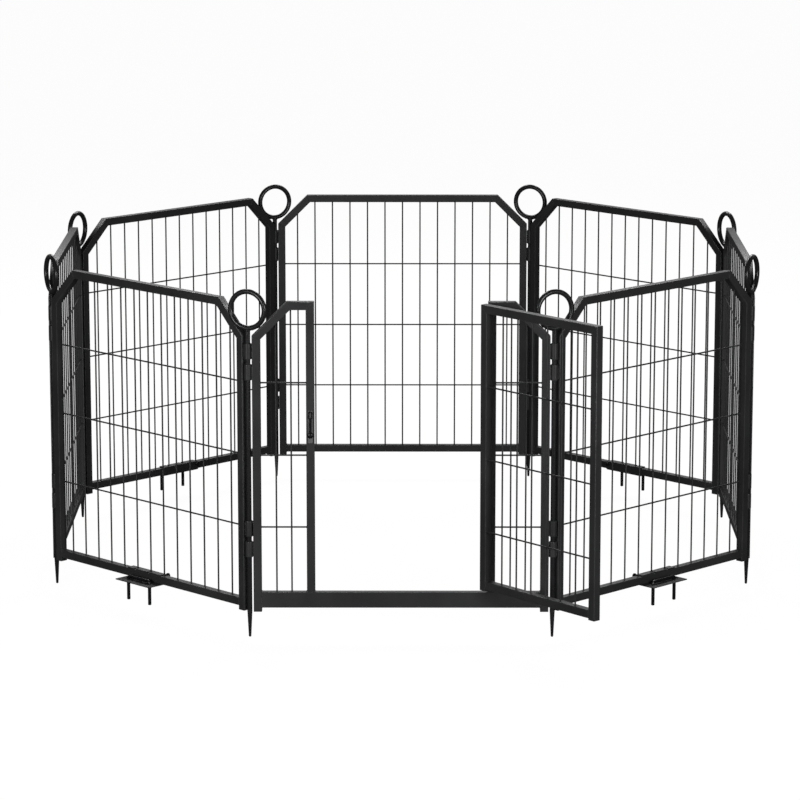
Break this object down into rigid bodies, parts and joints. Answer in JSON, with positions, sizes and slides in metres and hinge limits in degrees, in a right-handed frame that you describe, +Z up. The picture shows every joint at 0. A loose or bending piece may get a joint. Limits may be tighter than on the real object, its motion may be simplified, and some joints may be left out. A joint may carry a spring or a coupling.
{
  "type": "pet playpen",
  "caption": "Ring of hinged steel mesh panels on ring-topped ground stakes, with an outward-swinging door over a deep sill, a turning latch and staple ground anchors.",
  "frame": {"origin": "middle of the bounding box in X and Y, with the door open as shown, at the level of the stake tips", "axes": "+Z up; the door panel faces -Y; +X to the right as seen from in front of the door"},
  "size_m": [1.4568, 1.6984, 0.687],
  "materials": {
    "frame_coat": "satin black powder coat on square steel tube and folded plate",
    "wire_coat": "satin black powder coat on welded steel wire",
    "stake_coat": "satin black powder coat on round steel rod",
    "hardware_coat": "semi-gloss black on latch, pins, staples and screws"
  },
  "bodies": {
    "door_panel": {"door_panel_frame": "frame_coat", "door_panel_left_wire_mesh": "wire_coat", "door_panel_right_wire_mesh": "wire_coat", "latch_plate": "frame_coat", "latch_rivet": "hardware_coat", "door_hinge_pin_lower": "hardware_coat", "door_hinge_pin_upper": "hardware_coat"},
    "door_leaf": {"door_leaf_frame": "frame_coat", "door_leaf_wire_mesh": "wire_coat"},
    "latch": {"latch_bar": "hardware_coat"},
    "front_right_panel": {"front_right_panel_frame": "frame_coat", "front_right_panel_wire_mesh": "wire_coat", "front_right_panel_anchor_bracket": "frame_coat", "front_right_panel_anchor_screw": "hardware_coat"},
    "right_panel": {"right_panel_frame": "frame_coat", "right_panel_wire_mesh": "wire_coat"},
    "back_right_panel": {"back_right_panel_frame": "frame_coat", "back_right_panel_wire_mesh": "wire_coat", "back_right_panel_anchor_bracket": "frame_coat", "back_right_panel_anchor_screw": "hardware_coat"},
    "back_panel": {"back_panel_frame": "frame_coat", "back_panel_wire_mesh": "wire_coat"},
    "back_left_panel": {"back_left_panel_frame": "frame_coat", "back_left_panel_wire_mesh": "wire_coat", "back_left_panel_anchor_bracket": "frame_coat", "back_left_panel_anchor_screw": "hardware_coat"},
    "left_panel": {"left_panel_frame": "frame_coat", "left_panel_wire_mesh": "wire_coat"},
    "front_left_panel": {"front_left_panel_frame": "frame_coat", "front_left_panel_wire_mesh": "wire_coat", "front_left_panel_anchor_bracket": "frame_coat", "front_left_panel_anchor_screw": "hardware_coat"},
    "front_left_stake": {"front_left_stake": "stake_coat"},
    "front_right_stake": {"front_right_stake": "stake_coat"},
    "right_front_stake": {"right_front_stake": "stake_coat"},
    "right_back_stake": {"right_back_stake": "stake_coat"},
    "back_right_stake": {"back_right_stake": "stake_coat"},
    "back_left_stake": {"back_left_stake": "stake_coat"},
    "left_back_stake": {"left_back_stake": "stake_coat"},
    "left_front_stake": {"left_front_stake": "stake_coat"},
    "front_right_panel_staple": {"front_right_panel_anchor_staple": "hardware_coat"},
    "back_right_panel_staple": {"back_right_panel_anchor_staple": "hardware_coat"},
    "back_left_panel_staple": {"back_left_panel_anchor_staple": "hardware_coat"},
    "front_left_panel_staple": {"front_left_panel_anchor_staple": "hardware_coat"}
  },
  "joints": [
    {"name": "door_swing", "type": "hinge", "parent": "door_panel", "child": "door_leaf", "pos_m": [0.16295, -0.59915, 0.052], "axis": [0, 0, 1], "range_deg": [-131.7, 33]},
    {"name": "latch_turn", "type": "hinge", "parent": "door_panel", "child": "latch", "pos_m": [-0.1745, -0.60075, 0.4032], "axis": [0, 1, 0], "range_deg": [0, 90]},
    {"name": "front_right_fold", "type": "hinge", "parent": "door_panel", "child": "front_right_panel", "pos_m": [0.29405, -0.58915, 0.052], "axis": [0, 0, 1], "range_deg": [-43, 43]},
    {"name": "right_fold", "type": "hinge", "parent": "front_right_panel", "child": "right_panel", "pos_m": [0.7099, -0.1733, 0.052], "axis": [0, 0, 1], "range_deg": [-43, 43]},
    {"name": "back_right_fold", "type": "hinge", "parent": "right_panel", "child": "back_right_panel", "pos_m": [0.7099, 0.4148, 0.052], "axis": [0, 0, 1], "range_deg": [-43, 43]},
    {"name": "back_fold", "type": "hinge", "parent": "back_right_panel", "child": "back_panel", "pos_m": [0.29405, 0.83065, 0.052], "axis": [0, 0, 1], "range_deg": [-43, 43]},
    {"name": "front_left_fold", "type": "hinge", "parent": "door_panel", "child": "front_left_panel", "pos_m": [-0.29405, -0.58915, 0.052], "axis": [0, 0, 1], "range_deg": [-43, 43]},
    {"name": "left_fold", "type": "hinge", "parent": "front_left_panel", "child": "left_panel", "pos_m": [-0.7099, -0.1733, 0.052], "axis": [0, 0, 1], "range_deg": [-43, 43]},
    {"name": "back_left_fold", "type": "hinge", "parent": "left_panel", "child": "back_left_panel", "pos_m": [-0.7099, 0.4148, 0.052], "axis": [0, 0, 1], "range_deg": [-43, 43]},
    {"name": "front_left_stake_lift", "type": "slide", "parent": "door_panel", "child": "front_left_stake", "axis": [0, 0, 1], "range_m": [0, 0.6]},
    {"name": "front_right_stake_lift", "type": "slide", "parent": "door_panel", "child": "front_right_stake", "axis": [0, 0, 1], "range_m": [0, 0.6]},
    {"name": "right_front_stake_lift", "type": "slide", "parent": "front_right_panel", "child": "right_front_stake", "axis": [0, 0, 1], "range_m": [0, 0.6]},
    {"name": "right_back_stake_lift", "type": "slide", "parent": "right_panel", "child": "right_back_stake", "axis": [0, 0, 1], "range_m": [0, 0.6]},
    {"name": "back_right_stake_lift", "type": "slide", "parent": "back_right_panel", "child": "back_right_stake", "axis": [0, 0, 1], "range_m": [0, 0.6]},
    {"name": "back_left_stake_lift", "type": "slide", "parent": "back_panel", "child": "back_left_stake", "axis": [0, 0, 1], "range_m": [0, 0.6]},
    {"name": "left_back_stake_lift", "type": "slide", "parent": "left_panel", "child": "left_back_stake", "axis": [0, 0, 1], "range_m": [0, 0.6]},
    {"name": "left_front_stake_lift", "type": "slide", "parent": "front_left_panel", "child": "left_front_stake", "axis": [0, 0, 1], "range_m": [0, 0.6]},
    {"name": "front_right_panel_staple_lift", "type": "slide", "parent": "front_right_panel", "child": "front_right_panel_staple", "axis": [0, 0, 1], "range_m": [0, 0.045]},
    {"name": "back_right_panel_staple_lift", "type": "slide", "parent": "back_right_panel", "child": "back_right_panel_staple", "axis": [0, 0, 1], "range_m": [0, 0.045]},
    {"name": "back_left_panel_staple_lift", "type": "slide", "parent": "back_left_panel", "child": "back_left_panel_staple", "axis": [0, 0, 1], "range_m": [0, 0.045]},
    {"name": "front_left_panel_staple_lift", "type": "slide", "parent": "front_left_panel", "child": "front_left_panel_staple", "axis": [0, 0, 1], "range_m": [0, 0.045]}
  ],
  "couplings": [
    {"joint": "right_fold", "follows": "front_right_fold", "ratio": -1},
    {"joint": "back_right_fold", "follows": "front_right_fold", "ratio": 1},
    {"joint": "back_fold", "follows": "front_right_fold", "ratio": -1},
    {"joint": "front_left_fold", "follows": "front_right_fold", "ratio": 1},
    {"joint": "left_fold", "follows": "front_right_fold", "ratio": -1},
    {"joint": "back_left_fold", "follows": "front_right_fold", "ratio": 1}
  ]
}
